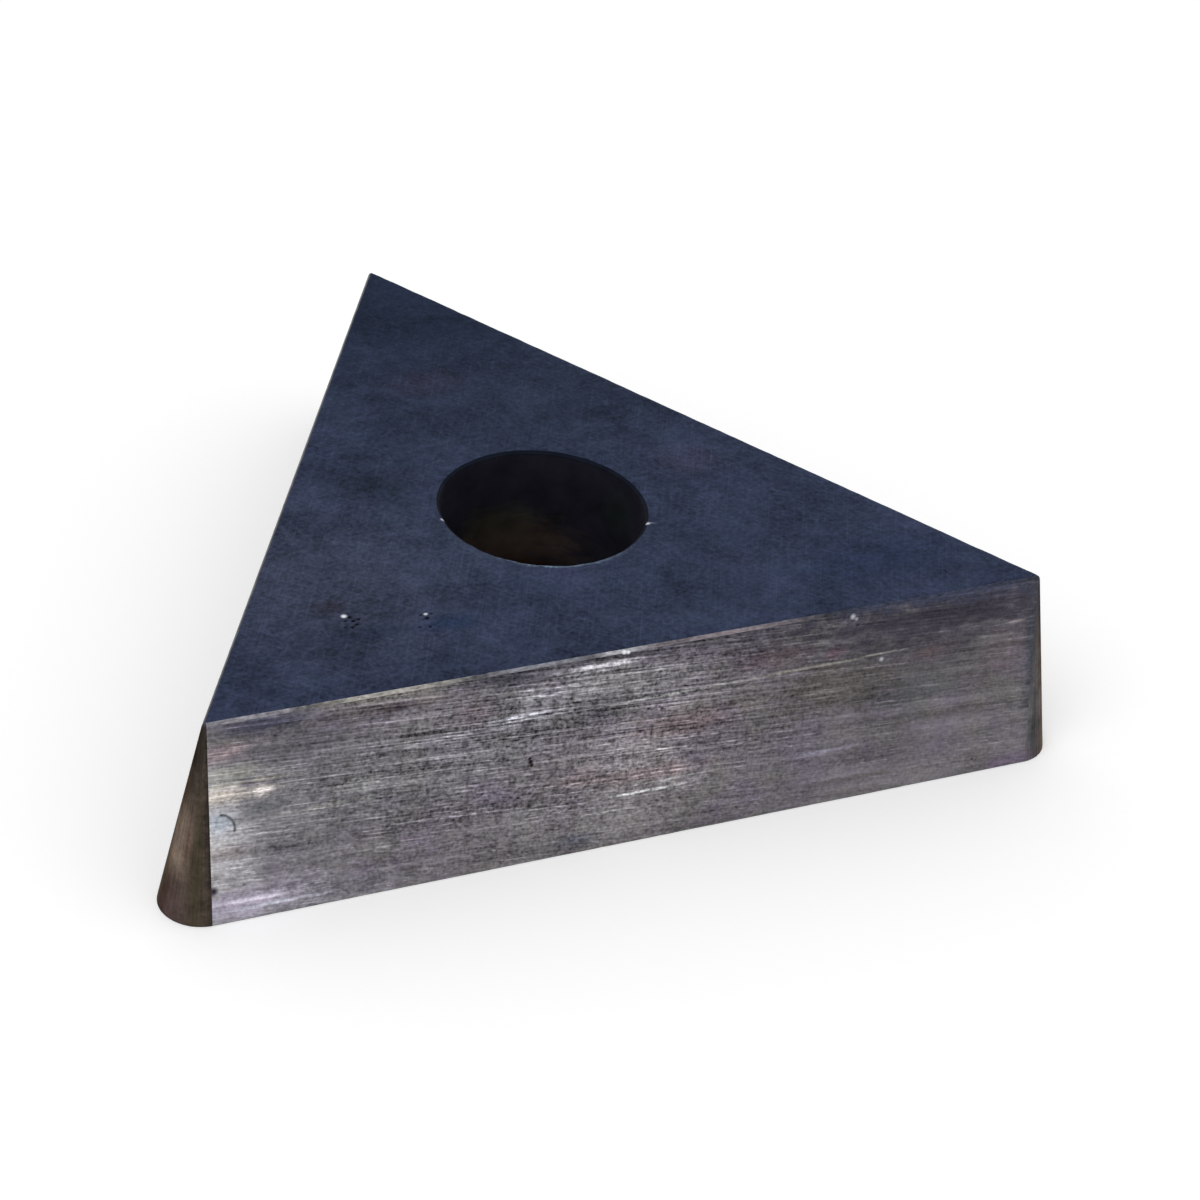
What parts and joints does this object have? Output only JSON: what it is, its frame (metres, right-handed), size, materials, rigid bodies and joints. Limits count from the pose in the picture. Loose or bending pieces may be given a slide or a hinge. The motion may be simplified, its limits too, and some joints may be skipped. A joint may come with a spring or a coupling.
{
  "type": "carbide insert",
  "caption": "Flat triangular indexable cutting insert of sintered carbide, with leaning ground flanks, rounded nose corners and a plain central clamping bore.",
  "frame": {"origin": "on the bore's axis, in the plane of the large cutting face that the insert lies on", "axes": "+Z along the bore, out of the small seat face; one corner points along +Y, and the flank opposite it faces -Y; +X runs along that front flank"},
  "size_m": [0.0206, 0.0181, 0.0045],
  "materials": {
    "carbide": "ground, uncoated, satin"
  },
  "bodies": {
    "root": {"carbide_insert": "carbide"}
  },
  "joints": []
}
